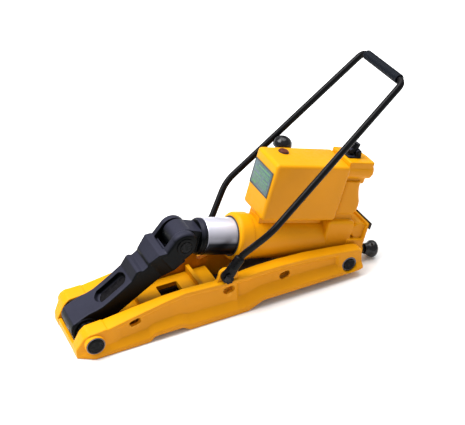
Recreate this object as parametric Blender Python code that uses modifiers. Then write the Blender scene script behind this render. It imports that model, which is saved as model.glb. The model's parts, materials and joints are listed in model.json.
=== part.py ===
"""Hydraulic rail-track jack: a trough-shaped steel base, a stepped lifting arm hinged at its front,
a cylinder with oil tank and hand pump hinged at its tail, and a carrying handle.

All sizes are in millimetres and become metres through MM. +X points to the pump end, +Z is up, and
the origin is the centre of the sole. Pieces that touch keep a gap of GAP.
"""
import math

import bmesh
import bpy
from mathutils import Matrix, Vector

MM = 0.001
GAP = 0.3

# ---- base -------------------------------------------------------------------------------------
HALF_LENGTH = 352.0
FOOT_Y = 99.0
NOSE_Y = 77.0
# Each list gives (x, value) along one side wall; values between two points are linear.
WALL_INNER_Y = [(-352, 50), (-272, 50), (-200, 54), (-140, 60), (-100, 65), (15, 65), (60, 60), (352, 60)]
WALL_TOP_Z = [(-352, 22), (-344, 36), (-334, 53), (-322, 63), (-283, 65.5), (-280, 63.5), (-200, 77),
              (-140, 88), (-95, 94), (-50, 91.5), (5, 88), (40, 91), (90, 94), (140, 94), (210, 90),
              (285, 80.5), (340, 72), (352, 66)]
WALL_OUTER_TOP_Y = [(-352, NOSE_Y - 1), (-318, 91), (-280, 89), (-200, 86), (-95, 85), (5, 86),
                    (60, 90), (338, 90), (352, 87)]
WALL_OUTER_FOOT_Y = [(-352, NOSE_Y), (-317, FOOT_Y), (342, FOOT_Y), (352, 95)]
SOLE_Z = [(-352, 0), (-188, 0), (-178, 11), (-109, 11), (-93, 0), (52, 0), (88, 17), (352, 17)]
WEB_RECESS = [(28, 0), (34, 9), (284, 9), (290, 0)]
FLANGE_LIP = 9.0
FLOOR_Z = (26.0, 38.0)
FLOOR_X = (-172.0, 14.0)
LOW_FLOOR = (-268.0, -166.0, 7.0, 17.0)
SOLE_PLATE = (-60.0, 12.0, 9.0)
FLOOR_SLOT = (-121.0, -69.0, 35.0)
FLOOR_HALF = 48.0
RIB_X = (-36.0, -27.0)
# The walls are open channels below: this is how far the channel reaches up towards the wall's top.
CHANNEL_DEPTH = [(-352, 0.02), (-283, 0.02), (-272, 0.8), (284, 0.75), (292, 0.02), (352, 0.02)]
CHANNEL_SKIN = 9.0
WEB_HOLES = [(-216, 57), (10, 66), (152, 58)]
WEB_HOLE_R = 9.0
WEB_SLOT = 5.0
TAIL_RECESS_R = 18.8

# ---- linkage at rest --------------------------------------------------------------------------
FRONT_PIN = (-313.0, 36.0)
TAIL_PIN = (317.0, 38.0)
FORK_PIN = (-73.0, 187.0)
AXIS_RISE = 26.0
FRONT_PIN_R = 15.0
TAIL_PIN_R = 15.0
FORK_PIN_R = 14.0
# The eye of the plunger stands this much short of the fork pin at rest, and its bore is this much
# wider than the pin, which is the play that the opened pivot needs over the arm's travel.
EYE_SHORT = 4.3
EYE_PLAY = 5.0

ARM_REACH = math.dist(FRONT_PIN, FORK_PIN)
ARM_ANGLE = math.atan2(FORK_PIN[1] - FRONT_PIN[1], FORK_PIN[0] - FRONT_PIN[0])
TAIL_REACH = math.dist(TAIL_PIN, FORK_PIN)
EYE_AT = math.sqrt(TAIL_REACH**2 - AXIS_RISE**2)
TILT = math.atan2(FORK_PIN[1] - TAIL_PIN[1], TAIL_PIN[0] - FORK_PIN[0]) - math.asin(AXIS_RISE / TAIL_REACH)

# ---- arm --------------------------------------------------------------------------------------
ARM_HALF = 36.0
ROOT_HALF = 38.0
FORK_HALF = 46.5
ROOT_R = 30.0
EAR_R = 32.0
EAR_FACE_R = 24.0
KNUCKLE_HALF = 26.0
FORK_GAP = KNUCKLE_HALF + 0.8
THROAT_AT = 243.5
POCKET = (62.0, 134.0, 24.0)

# ---- cylinder, in the tail frame (u to the rear along the cylinder, w square to it) ------------
PLUNGER_R = 42.5
BARREL_R = 52.0
BORE_R = 43.2
COLLAR_R = 55.5
COLLAR_U = (-284.3, -250.0)
BARREL_U = (-262.0, -50.3)
CHROME_U = (-361.0, -125.0)
KNUCKLE_R = 31.5
BLOCK_U = (-62.0, 12.0)
BLOCK_W = (-16.0, 91.0)
BLOCK_HALF = 52.0

# ---- oil tank ---------------------------------------------------------------------------------
TANK_U = (-245.0, -47.0)
TANK_W = (91.3, 232.0)
TANK_HALF = 49.0
TANK_WALL = 4.0
PLATE_SIZE = (84.0, 62.0, 1.2)
PLATE_W = 177.0
FILLER_AT = (-194.0, 20.0)
BREATHER_AT = (-166.5, 72.0, 219.0)

# ---- pump -------------------------------------------------------------------------------------
HEAD_TOP_W = 239.0
PUMP_BARREL = (-19.0, 213.0, 21.0)
ROCKER_AT = (-15.0, 252.5)
PISTON_U = -31.0
PISTON_R = 7.0
RELEASE_AT = (-40.0, 11.0)
LEDGE_U = 50.0
LEDGE_W = (3.0, 46.0)
FLANGE_W = 89.0
LEDGE_HALF = 56.0

# ---- carrying handle --------------------------------------------------------------------------
HANDLE_PIVOT = (7.0, 103.0)
ROD_R = 8.0
EYE_Y = 82.5
EYE_THICK = 12.0
EYE_ANGLE = math.radians(50.0)
ROD_START, ROD_KINK = 41.0, 60.0
ROD_BEND = (100.0, 117.0, 213.0)
ROD_CORNER = (439.0, 83.5, 482.0)
GRIP_HALF = 68.0
GRIP_R = 12.0


# ==== scene and materials ======================================================================
for old in list(bpy.data.objects):
    bpy.data.objects.remove(old, do_unlink=True)

parts = bpy.data.collections.new("rail_track_jack")
cutters = bpy.data.collections.new("cutters")
bpy.context.scene.collection.children.link(parts)
bpy.context.scene.collection.children.link(cutters)


def make_material(name, colour, roughness, metallic):
    material = bpy.data.materials.new(name)
    material.use_nodes = True
    shader = material.node_tree.nodes["Principled BSDF"]
    shader.inputs["Base Color"].default_value = (*colour, 1.0)
    shader.inputs["Roughness"].default_value = roughness
    shader.inputs["Metallic"].default_value = metallic
    material.diffuse_color = (*colour, 1.0)
    return material


YELLOW = make_material("yellow_paint", (0.85, 0.42, 0.02), 0.38, 0.0)
BLACK = make_material("black_enamel", (0.018, 0.018, 0.024), 0.42, 0.0)
CHROME = make_material("hard_chrome", (0.72, 0.73, 0.76), 0.12, 1.0)
STEEL = make_material("bright_steel", (0.55, 0.55, 0.56), 0.3, 1.0)
DARK_STEEL = make_material("blackened_steel", (0.03, 0.03, 0.035), 0.4, 0.6)
BRONZE = make_material("bronze", (0.45, 0.27, 0.1), 0.35, 1.0)
SEAL = make_material("seal_rubber", (0.02, 0.02, 0.02), 0.7, 0.0)
GRIP = make_material("grip_rubber", (0.05, 0.065, 0.08), 0.6, 0.0)
KNOB = make_material("knob_plastic", (0.015, 0.015, 0.018), 0.35, 0.0)
PLUG = make_material("plug_brown", (0.22, 0.05, 0.02), 0.5, 0.0)
PLATE = make_material("name_plate", (0.12, 0.3, 0.3), 0.35, 0.3)


def make_frame(name, place, angle=0.0, parent=None):
    """An empty on a joint's axis; angle turns it about Y, and positive lowers its +X."""
    frame = bpy.data.objects.new(name, None)
    frame.location = Vector(place) * MM
    frame.rotation_euler = (0.0, angle, 0.0)
    frame.parent = parent
    parts.objects.link(frame)
    return frame


# ==== modelling helpers ========================================================================
def arc(centre, radius, start, end, steps):
    """Points on a circle from start to end, in degrees."""
    points = []
    for i in range(steps + 1):
        angle = math.radians(start + (end - start) * i / steps)
        points.append((centre[0] + radius * math.cos(angle), centre[1] + radius * math.sin(angle)))
    return points


def new_object(name, mesh, frame, material, collection=parts):
    made = bpy.data.objects.new(name, mesh)
    made.parent = frame
    collection.objects.link(made)
    if material:
        mesh.materials.append(material)
    return made


def smooth(made, angle=35.0):
    made.data.shade_smooth()
    made.data.set_sharp_from_angle(angle=math.radians(angle))
    return made


def bevel(made, width, segments=2, angle=40.0):
    modifier = made.modifiers.new("edges", "BEVEL")
    modifier.width = width * MM
    modifier.segments = segments
    modifier.limit_method = "ANGLE"
    modifier.angle_limit = math.radians(angle)
    return made


def block(name, low, high, frame, material, edge=0.0, segments=2):
    """A box between two corners of a frame."""
    bpy.ops.mesh.primitive_cube_add(size=1.0, location=(0, 0, 0))
    made = bpy.context.active_object
    made.name = name
    size = [(high[i] - low[i]) * MM for i in range(3)]
    centre = [(high[i] + low[i]) * 0.5 * MM for i in range(3)]
    made.data.transform(Matrix.Diagonal((*size, 1.0)))
    for owner in list(made.users_collection):
        owner.objects.unlink(made)
    parts.objects.link(made)
    made.parent = frame
    made.location = centre
    if material:
        made.data.materials.append(material)
    if edge:
        bevel(made, edge, segments)
    return made


def slab(name, outline, y_from, y_to, frame, material):
    """A flat outline in the frame's XZ plane, as thick as y_from to y_to."""
    curve = bpy.data.curves.new(name, "CURVE")
    curve.dimensions = "2D"
    curve.fill_mode = "BOTH"
    curve.extrude = (y_to - y_from) * 0.5 * MM
    spline = curve.splines.new("POLY")
    spline.points.add(len(outline) - 1)
    for point, (x, z) in zip(spline.points, outline):
        point.co = (x * MM, z * MM, 0.0, 1.0)
    spline.use_cyclic_u = True
    flat = bpy.data.objects.new(name + "_outline", curve)
    parts.objects.link(flat)
    made = from_curve(name, flat, frame, material)
    made.data.transform(Matrix.Translation((0, (y_from + y_to) * 0.5 * MM, 0)) @ Matrix.Rotation(math.pi / 2, 4, "X"))
    return made


def from_curve(name, flat, frame, material):
    """The mesh of a curve object, with its caps welded on."""
    bpy.context.view_layer.update()
    evaluated = flat.evaluated_get(bpy.context.evaluated_depsgraph_get())
    mesh = bpy.data.meshes.new_from_object(evaluated)
    mesh.name = name
    mesh.materials.clear()
    shape = bmesh.new()
    shape.from_mesh(mesh)
    bmesh.ops.remove_doubles(shape, verts=shape.verts, dist=1e-6)
    bmesh.ops.recalc_face_normals(shape, faces=shape.faces)
    shape.to_mesh(mesh)
    shape.free()
    place = flat.matrix_world.copy()
    bpy.data.objects.remove(flat, do_unlink=True)
    mesh.transform(place)
    return new_object(name, mesh, frame, material)


def turned(name, profile, centre, axis, frame, material, steps=32):
    """A turned piece: profile holds (radius, height) from its top down the outside; axis names the
    frame's direction that its top points to."""
    closed = profile[0][0] > 0.0
    mesh = bpy.data.meshes.new(name)
    # Tools start at another angle than the pieces, so that their edges never fall on each other.
    turn = 0.0 if material else 0.06
    points = [(r * MM * math.cos(turn), r * MM * math.sin(turn), h * MM) for r, h in profile]
    edges = [(i, i + 1) for i in range(len(points) - 1)]
    if closed:
        edges.append((len(points) - 1, 0))
    mesh.from_pydata(points, edges, [])
    made = new_object(name, mesh, frame, material)
    made.location = Vector(centre) * MM
    turns = {"+Z": (0, 0, 0), "-Z": (math.pi, 0, 0), "-Y": (math.pi / 2, 0, 0), "+Y": (-math.pi / 2, 0, 0),
             "+X": (0, math.pi / 2, 0), "-X": (0, -math.pi / 2, 0)}
    made.rotation_euler = turns[axis]
    screw = made.modifiers.new("turn", "SCREW")
    screw.axis = "Z"
    screw.steps = steps
    screw.render_steps = steps
    screw.use_merge_vertices = True
    screw.merge_threshold = 0.00001
    screw.use_smooth_shade = True
    return made


def rod(radius, low, high, edge=0.0):
    """The profile of a solid round bar with chamfered ends."""
    if edge:
        return [(0, high), (radius - edge, high), (radius, high - edge), (radius, low + edge),
                (radius - edge, low), (0, low)]
    return [(0, high), (radius, high), (radius, low), (0, low)]


def ring(outer, inner, low, high, edge=0.0):
    """The profile of a ring, chamfered outside."""
    if edge:
        return [(outer - edge, high), (outer, high - edge), (outer, low + edge), (outer - edge, low),
                (inner, low), (inner, high)]
    return [(outer, high), (outer, low), (inner, low), (inner, high)]


def hexagon(radius):
    return arc((0, 0), radius, 0, 300, 5)


def loft(name, sections, frame, material):
    """A solid through cross-sections that all have the same number of points."""
    shape = bmesh.new()
    rows = [[shape.verts.new(Vector(point) * MM) for point in section] for section in sections]
    count = len(rows[0])
    for here, there in zip(rows, rows[1:]):
        for i in range(count):
            shape.faces.new((here[i], here[(i + 1) % count], there[(i + 1) % count], there[i]))
    shape.faces.new(rows[0])
    shape.faces.new(rows[-1])
    bmesh.ops.recalc_face_normals(shape, faces=shape.faces)
    mesh = bpy.data.meshes.new(name)
    shape.to_mesh(mesh)
    shape.free()
    return new_object(name, mesh, frame, material)


def combine(made, tool, operation):
    """Adds tool to made, or cuts it away, and puts the tool with the cutters."""
    if "BOOLEAN" in [modifier.type for modifier in made.modifiers]:
        split = made.modifiers.new("flat_faces", "TRIANGULATE")
        split.min_vertices = 5
    modifier = made.modifiers.new(tool.name, "BOOLEAN")
    modifier.operation = operation
    modifier.solver = "EXACT"
    modifier.object = tool
    for owner in list(tool.users_collection):
        owner.objects.unlink(tool)
    cutters.objects.link(tool)
    tool.hide_render = True
    tool.display_type = "WIRE"
    return made


def cut(made, tool):
    return combine(made, tool, "DIFFERENCE")


def join(made, tool):
    return combine(made, tool, "UNION")


def between(table, x):
    """The value of a (x, value) list at x."""
    for (x0, v0), (x1, v1) in zip(table, table[1:]):
        if x <= x1:
            return v0 + (v1 - v0) * (x - x0) / (x1 - x0)
    return table[-1][1]


# ==== frames ===================================================================================
base = make_frame("base_axes", (0, 0, 0))
arm = make_frame("arm_axis", (FRONT_PIN[0], 0, FRONT_PIN[1]), -ARM_ANGLE)
tail = make_frame("tail_axis", (TAIL_PIN[0], 0, TAIL_PIN[1]), TILT)
handle = make_frame("handle_axis", (HANDLE_PIVOT[0], 0, HANDLE_PIVOT[1]))
rocker = make_frame("rocker_axis", (ROCKER_AT[0], 0, ROCKER_AT[1]), 0.0, tail)
release = make_frame("release_axis", (0, RELEASE_AT[0], RELEASE_AT[1]), 0.0, tail)
breather = make_frame("breather_axis", BREATHER_AT, 0.0, tail)


# ==== base frame ===============================================================================
def wall_section(x, side):
    """One cross-section of a side wall: up its inner face, down its outer face and through its channel."""
    inner = between(WALL_INNER_Y, x)
    top = between(WALL_TOP_Z, x)
    outer_top = between(WALL_OUTER_TOP_Y, x)
    outer_foot = between(WALL_OUTER_FOOT_Y, x)
    sole = between(SOLE_Z, x)
    recess = between(WEB_RECESS, x) if WEB_RECESS[0][0] <= x <= WEB_RECESS[-1][0] else 0.0
    lip = min(FLANGE_LIP, (top - sole) * 0.3)
    skirt = sole + (top - sole) * 0.36
    web = outer_top - recess
    roof = sole + (top - sole - 10.0) * between(CHANNEL_DEPTH, x)
    points = [(inner, sole), (inner, top), (outer_top - 3.0, top - 0.5), (outer_top, top - 3.5),
              (outer_top + 0.1, top - lip - 0.1), (web + 0.2, top - lip - 1.5 - recess * 0.7),
              (web + 0.4, skirt + recess * 0.6), (outer_foot, sole + (top - sole) * 0.16), (outer_foot, sole),
              (outer_foot - CHANNEL_SKIN, sole), (web - CHANNEL_SKIN, roof), (inner + CHANNEL_SKIN, roof),
              (inner + CHANNEL_SKIN - 1.0, sole)]
    return [(x, side * y, z) for y, z in points]


def make_wall(side):
    tables = (WALL_INNER_Y, WALL_TOP_Z, WALL_OUTER_TOP_Y, WALL_OUTER_FOOT_Y, SOLE_Z, WEB_RECESS, CHANNEL_DEPTH)
    stations = sorted({x for table in tables for x, value in table})
    tag, axis = ("near", "-Y") if side < 0 else ("far", "+Y")
    wall = loft(f"side_wall_{tag}", [wall_section(x, side) for x in stations], base, YELLOW)
    x, z = HANDLE_PIVOT
    crown = arc((x, z), 15.5, 0, 180, 10)
    outline = [(x - 24, 84), (x + 21, 84), (x + 21, z - 14)] + crown + [(x - 24, z - 14)]
    low, high = sorted((side * 66.0, side * 76.0))
    join(wall, slab(f"handle_lug_{tag}", outline, low, high, base, None))
    stop = [(x + 15, 84), (x + 28, 84), (x + 28, z + 10), (x + 26, z + 8.2), (x + 15, z - 5.6)]
    low, high = sorted((side * 72, side * 82))
    join(wall, slab(f"handle_stop_{tag}", stop, low, high, base, None))
    join(wall, turned(f"front_boss_{tag}", rod(24.5, 82, 97, 1.5), (FRONT_PIN[0], 0, FRONT_PIN[1]), axis, base, None))
    cut(wall, turned(f"pivot_hole_{tag}", rod(7.4, 60, 80), (x, 0, z), axis, base, None, 20))
    for number, (hole_x, hole_z) in enumerate(WEB_HOLES):
        outline = arc((hole_x + WEB_SLOT, hole_z + 1), WEB_HOLE_R, -90, 90, 8)
        outline += arc((hole_x - WEB_SLOT, hole_z - 1), WEB_HOLE_R, 90, 270, 8)
        low, high = sorted((side * 45.0, side * 110.0))
        cut(wall, slab(f"web_hole_{number}_{tag}", outline, low, high, base, None))
    bore = FRONT_PIN_R + GAP
    cut(wall, turned(f"front_bore_{tag}", rod(bore, 40, 110), (FRONT_PIN[0], 0, FRONT_PIN[1]), axis, base, None))
    bore = TAIL_PIN_R + GAP
    stepped = [(0, 110), (TAIL_RECESS_R, 110), (TAIL_RECESS_R, 88), (bore, 88), (bore, 40), (0, 40)]
    cut(wall, turned(f"tail_bore_{tag}", stepped, (TAIL_PIN[0], 0, TAIL_PIN[1]), axis, base, None))
    smooth(wall)


def make_floor():
    """The plates and bars between the two walls, each as wide as the walls leave."""
    x0, x1, z0, z1 = LOW_FLOOR
    low_x, high_x, half = FLOOR_SLOT
    floor = block("trough_floor", (FLOOR_X[0], -FLOOR_HALF - 5, FLOOR_Z[0]), (FLOOR_X[1], FLOOR_HALF + 5, FLOOR_Z[1]), base, YELLOW)
    join(floor, block("floor_wide", (-140, -59.6, FLOOR_Z[0] + 0.3), (FLOOR_X[1] - 0.4, 59.6, FLOOR_Z[1] - 0.3), base, None))
    join(floor, block("low_floor", (x0, -49.4, z0), (x1, 49.4, z1), base, None))
    join(floor, block("floor_riser", (FLOOR_X[0] - 2, -49, z0 + 0.5), (x1 - 0.5, 49, FLOOR_Z[1] - 0.5), base, None))
    join(floor, block("sole_plate", (SOLE_PLATE[0], -58, 0), (SOLE_PLATE[1], 58, SOLE_PLATE[2]), base, None))
    join(floor, block("sole_post", (SOLE_PLATE[0] + 12, -57, SOLE_PLATE[2] - 2), (SOLE_PLATE[0] + 22, 57, FLOOR_Z[0] + 2), base, None))
    join(floor, block("cross_rib", (RIB_X[0], -59, FLOOR_Z[1] - 6), (RIB_X[1], 59, 56), base, None))
    cut(floor, block("floor_slot", (low_x, -half, 20), (high_x, half, 60), base, None, 4.0, 2))
    smooth(floor)
    block("front_bar", (-351.5, -49.6, 0.4), (-343.5, 49.6, 20), base, YELLOW, 1.5)
    block("rear_bar", (342, -59.6, 17.4), (351.5, 59.6, 22), base, YELLOW, 1.0)


def make_pin(name, radius, half, place, frame):
    return smooth(turned(name, rod(radius, -half, half, 1.5), (place[0], 0, place[1]), "-Y", frame, DARK_STEEL))


def make_pin_rings(name, radius, outer, start, thick, place, frame):
    for side, axis in ((-1, "-Y"), (1, "+Y")):
        tag = "near" if side < 0 else "far"
        profile = ring(outer, radius + 0.2, start, start + thick, 0.4)
        turned(f"{name}_{tag}", profile, (place[0], 0, place[1]), axis, frame, DARK_STEEL, 28)


def make_base_pins():
    make_pin("front_pin", FRONT_PIN_R, 99.5, FRONT_PIN, base)
    make_pin_rings("front_pin_ring", FRONT_PIN_R, 21.5, 97.0 + GAP, 2.0, FRONT_PIN, base)
    make_pin("tail_pin", TAIL_PIN_R, 92.0, TAIL_PIN, base)
    make_pin_rings("tail_pin_ring", TAIL_PIN_R, TAIL_RECESS_R - GAP, 88.0 + GAP, 2.2, TAIL_PIN, base)
    for side, axis in ((-1, "-Y"), (1, "+Y")):
        tag = "near" if side < 0 else "far"
        profile = ring(24, FRONT_PIN_R + GAP, ROOT_HALF + GAP, 50 - GAP, 0.8)
        turned(f"arm_spacer_{tag}", profile, (FRONT_PIN[0], 0, FRONT_PIN[1]), axis, base, DARK_STEEL, 28)


def make_handle_bolts():
    x, z = HANDLE_PIVOT
    for side, axis in ((-1, "-Y"), (1, "+Y")):
        tag = "near" if side < 0 else "far"
        head_low = EYE_Y + EYE_THICK / 2 + GAP
        bolt = turned(f"handle_bolt_{tag}", rod(7.0, 58.0, head_low + 4, 0.8), (x, 0, z), axis, base, DARK_STEEL, 20)
        low, high = sorted((side * head_low, side * (head_low + 8)))
        head = slab(f"bolt_head_{tag}", [(x + a, z + b) for a, b in hexagon(11.5)], low, high, base, None)
        join(bolt, head)
        low, high = sorted((side * 59.0, side * (66.0 - GAP)))
        nut = slab(f"handle_nut_{tag}", [(x + a, z + b) for a, b in hexagon(11.5)], low, high, base, DARK_STEEL)
        cut(nut, turned(f"nut_hole_{tag}", rod(7.0 + GAP, 50, 70), (x, 0, z), axis, base, None, 20))


# ==== lifting arm ==============================================================================
def make_arm():
    crown = [(12, 31.5), (30, 28.5), (46, 22.5), (62, 18.5), (84, 17.5), (118, 17.5), (146, 18.5), (168, 28), (174, 26.5),
             (179, 19.5), (195, 19.5), (199, 24), (231, 29.5), (THROAT_AT, 20.5)]
    keel = [(THROAT_AT, -30), (178, -27), (115, -25.5), (60, -24), (12, -27.5)]
    root = arc((0, 0), ROOT_R, 246, 200, 6) + arc((-1, 4), ROOT_R + 1, 180, 108, 9)
    body = slab("lifting_arm", crown + keel + root, -ARM_HALF, ARM_HALF, arm, BLACK)
    bevel(body, 2.0, 1, 30)
    join(body, bevel(slab("arm_root", arc((0, 0), ROOT_R - 0.4, 0, 345, 23), -ROOT_HALF, ROOT_HALF, arm, None), 1.5, 1, 50))
    flare = []
    for a, half, top, keel_n in ((199.5, ARM_HALF - 0.6, 23.6, -28.5), (231, FORK_HALF - 0.5, 29.2, -30),
                                 (THROAT_AT - 0.5, FORK_HALF - 0.5, 20.9, -30.5)):
        flare.append([(a, -half, keel_n), (a, half, keel_n), (a, half, top), (a, -half, top)])
    join(body, bevel(loft("fork_block", flare, arm, None), 1.5, 1, 30))
    for side in (-1, 1):
        tag = "near" if side < 0 else "far"
        ear = []
        for y, r in ((FORK_GAP, EAR_R), (FORK_HALF - 7, EAR_R), (FORK_HALF, EAR_FACE_R)):
            drop = EAR_R - r
            outline = [(228, -27 + drop * 0.3), (ARM_REACH - 9, -31.5 + drop)]
            outline += arc((ARM_REACH, 0), r, -100, 112, 16)
            outline += [(244, 22 - drop * 0.8), (231, 27.5 - drop), (228, 27 - drop)]
            ear.append([(a, side * y, n) for a, n in outline])
        join(body, loft(f"ear_{tag}", ear, arm, None))
    start, end, half = POCKET
    pocket = arc((start + half * 0.7, 0), half, 120, 240, 8) + arc((end - half * 0.7, 0), half, -60, 60, 8)
    deep = slab("arm_pocket", [(a, b) for a, b in pocket], -30, 30, arm, None)
    deep.data.transform(Matrix.Translation((0, 0, 34 * MM)) @ Matrix.Rotation(math.pi / 2, 4, "X"))
    cut(body, deep)
    cut(body, turned("root_bore", rod(18.5 + GAP, -60, 60), (0, 0, 0), "-Y", arm, None))
    cut(body, turned("fork_bore", rod(FORK_PIN_R + GAP, -60, 60), (ARM_REACH, 0, 0), "-Y", arm, None))
    smooth(body)
    turned("arm_bush", ring(18.5, FRONT_PIN_R + 0.1, -ROOT_HALF, ROOT_HALF), (0, 0, 0), "-Y", arm, BRONZE)
    make_pin("fork_pin", FORK_PIN_R, 50.5, (ARM_REACH, 0), arm)
    make_pin_rings("fork_pin_ring", FORK_PIN_R, 20.5, FORK_HALF + GAP, 2.4, (ARM_REACH, 0), arm)


# ==== cylinder and plunger =====================================================================
def make_cylinder():
    at = (0, 0, AXIS_RISE)
    smooth(turned("cylinder_barrel", ring(BARREL_R, BORE_R, *BARREL_U), at, "+X", tail, YELLOW, 40))
    front, rear = COLLAR_U
    # The profile's height runs along +u, so its top is the collar's rear end.
    collar = [(COLLAR_R, rear), (COLLAR_R, front + 8), (COLLAR_R - 2.5, front + 2.5), (COLLAR_R - 8, front),
              (PLUNGER_R + 0.4, front), (PLUNGER_R + 0.4, -268.3), (BARREL_R + GAP, -268.3), (BARREL_R + GAP, rear)]
    smooth(turned("cylinder_collar", collar, at, "+X", tail, YELLOW, 40))
    turned("rod_seal", ring(BARREL_R, PLUNGER_R + 0.3, -268.0, -262.3), at, "+X", tail, SEAL)
    turned("wiper_ring", ring(46.5, PLUNGER_R + 0.3, front - 2.3, front - GAP, 0.5), at, "+X", tail, SEAL, 40)


def make_plunger():
    at = (0, 0, AXIS_RISE)
    front, rear = CHROME_U
    bore = 34.0
    solid = turned("plunger", rod(PLUNGER_R, front, rear, 1.0), at, "+X", tail, CHROME, 40)
    cut(solid, turned("plunger_bore", rod(bore, front + 26, rear + 10), at, "+X", tail, None, 28))
    smooth(solid)
    eye = -(EYE_AT - EYE_SHORT)
    edge = PLUNGER_R - 0.4
    head = turned("plunger_head", [(0, front - GAP), (edge, front - GAP), (edge, front - 9), (edge - 3, front - 10.5),
                                   (edge - 3, front - 14.5), (0, front - 14.5)], at, "+X", tail, BLACK, 40)
    knuckle = [(-372, AXIS_RISE - 27), (-372, AXIS_RISE + 27)] + arc((eye, AXIS_RISE), KNUCKLE_R, 70, 290, 20)
    join(head, slab("knuckle", knuckle, -KNUCKLE_HALF, KNUCKLE_HALF, tail, None))
    cut(head, turned("knuckle_bore", rod(FORK_PIN_R + EYE_PLAY, -60, 60), (eye, 0, AXIS_RISE), "-Y", tail, None))
    smooth(head)


# ==== pump block ===============================================================================
def column_ring(w, rear):
    """The pump column's outline at height w, reaching back to u = rear."""
    return [(-46, -30, w), (-37, -39, w), (rear - 12, -39, w), (rear, -27, w), (rear, 27, w), (rear - 12, 39, w),
            (-37, 39, w), (-46, 30, w)]


def make_pump_block():
    y, w, r = PUMP_BARREL
    body = block("pump_block", (BLOCK_U[0], -BLOCK_HALF, BLOCK_W[0]), (BLOCK_U[1], BLOCK_HALF, BLOCK_W[1]), tail, YELLOW, 8, 3)
    join(body, block("pump_neck", (-44, -36, 70), (8, 36, 130), tail, None, 6, 1))
    column = [column_ring(w, rear) for w, rear in ((106, 10), (114, 18), (134, 18), (160, 7), (190, 2))]
    join(body, loft("pump_column", column, tail, None))
    join(body, block("pump_tower", (-46.3, -32, 180), (14, 40, 236), tail, None, 6, 2))
    plan = [(-46.6, -37), (20, -37), (22.9, -34), (22.9, 4), (18, 20), (8, 32), (-14, 42), (-40, 46), (-46.6, 46)]
    join(body, loft("pump_head", [[(u, y, w) for u, y in plan] for w in (224, HEAD_TOP_W)], tail, None))
    join(body, turned("pump_barrel", rod(r, -46.9, 23, 2.0), (0, y, w), "+X", tail, None, 32))
    join(body, slab("tail_lug", arc((0, 0), 26, 0, 337.5, 15), -57, 57, tail, None))
    ledge = (0, -LEDGE_HALF, LEDGE_W[0]), (LEDGE_U, LEDGE_HALF, LEDGE_W[1])
    join(body, block("rear_ledge", *ledge, tail, None, 3, 2))
    join(body, block("rear_flange", (LEDGE_U - 8, -LEDGE_HALF + 0.5, 20), (LEDGE_U - 0.3, LEDGE_HALF - 0.5, FLANGE_W), tail, None, 2, 2))
    join(body, turned("valve_chest", rod(20, -48, 48, 1.5), (30, 0, 66), "-Y", tail, None, 32))
    join(body, turned("release_boss", rod(14, 0, 57, 1.5), (0, *RELEASE_AT), "+X", tail, None, 24))
    cut(body, turned("barrel_seat", rod(BARREL_R + GAP, -80, -50), (0, 0, AXIS_RISE), "+X", tail, None, 40))
    cut(body, turned("tail_bush_bore", rod(18 + GAP, -70, 70), (0, 0, 0), "-Y", tail, None, 28))
    cut(body, turned("piston_bore", rod(PISTON_R + 0.4, 195, 260), (PISTON_U, 0, 0), "+Z", tail, None, 20))
    cut(body, turned("release_bore", rod(6.4, 34, 70), (0, *RELEASE_AT), "+X", tail, None, 16))
    smooth(body)
    turned("tail_bush", ring(18, TAIL_PIN_R + 0.1, -57, 57), (0, 0, 0), "-Y", tail, BRONZE)
    cap = [(0, 27.5), (14, 27.5), (17.5, 26), (17.5, 23.3), (0, 23.3)]
    turned("barrel_cap", cap, (0, y, w), "+X", tail, YELLOW, 28)
    strip = (LEDGE_U, -LEDGE_HALF - 3, FLANGE_W - 14), (LEDGE_U + 3, LEDGE_HALF, FLANGE_W + 2)
    block("flange_gasket", *strip, tail, SEAL)


def make_pump():
    """The hand pump: its piston, the bracket over it, and the rocker whose socket takes the bar."""
    px, pz = ROCKER_AT
    bracket = block("rocker_bracket", (-41, -16, HEAD_TOP_W + GAP), (-6, 16, HEAD_TOP_W + 4), tail, BLACK, 1.0, 1)
    for side in (-1, 1):
        tag = "near" if side < 0 else "far"
        low, high = sorted((side * 10.6, side * 14.6))
        ear = [(px - 8, HEAD_TOP_W + 2), (px + 8, HEAD_TOP_W + 2)] + arc((px, pz), 7, 0, 180, 10)
        join(bracket, slab(f"bracket_ear_{tag}", ear, low, high, tail, None))
    cut(bracket, turned("bracket_hole", rod(PISTON_R + 1, 230, 260), (PISTON_U, 0, 0), "+Z", tail, None, 20))
    cut(bracket, turned("rocker_bore", rod(4.5 + GAP, -30, 30), (px, 0, pz), "-Y", tail, None, 16))
    smooth(bracket)
    turned("pump_piston", rod(PISTON_R, 200, HEAD_TOP_W + 6.8, 0.8), (PISTON_U, 0, 0), "+Z", tail, STEEL, 20)
    turned("rocker_pin", rod(4.5, -16.0, 16.0, 0.8), (px, 0, pz), "-Y", tail, STEEL, 16)
    hub = turned("pump_rocker", rod(7.5, -10.2, 10.2, 0.8), (0, 0, 0), "-Y", rocker, BLACK, 24)
    reach = PISTON_U - px
    nose = [(0, 7), (reach, 7)] + arc((reach, 1.0), 6.0, 95, 265, 8) + [(0, -5)]
    join(hub, slab("rocker_nose", nose, -9, 9, rocker, None))
    lean = math.radians(18)
    socket = turned("bar_socket", rod(10.2, -1, 21, 1.0), (-10, 0, 0), "+Z", rocker, None, 24)
    socket.rotation_euler = (0, lean, 0)
    join(hub, socket)
    inside = turned("bar_socket_bore", rod(7.4, 5, 40), (-10, 0, 0), "+Z", rocker, None, 20)
    inside.rotation_euler = (0, lean, 0)
    cut(hub, inside)
    cut(hub, turned("rocker_eye", rod(4.5 + GAP, -30, 30), (0, 0, 0), "-Y", rocker, None, 16))
    smooth(hub)


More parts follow.
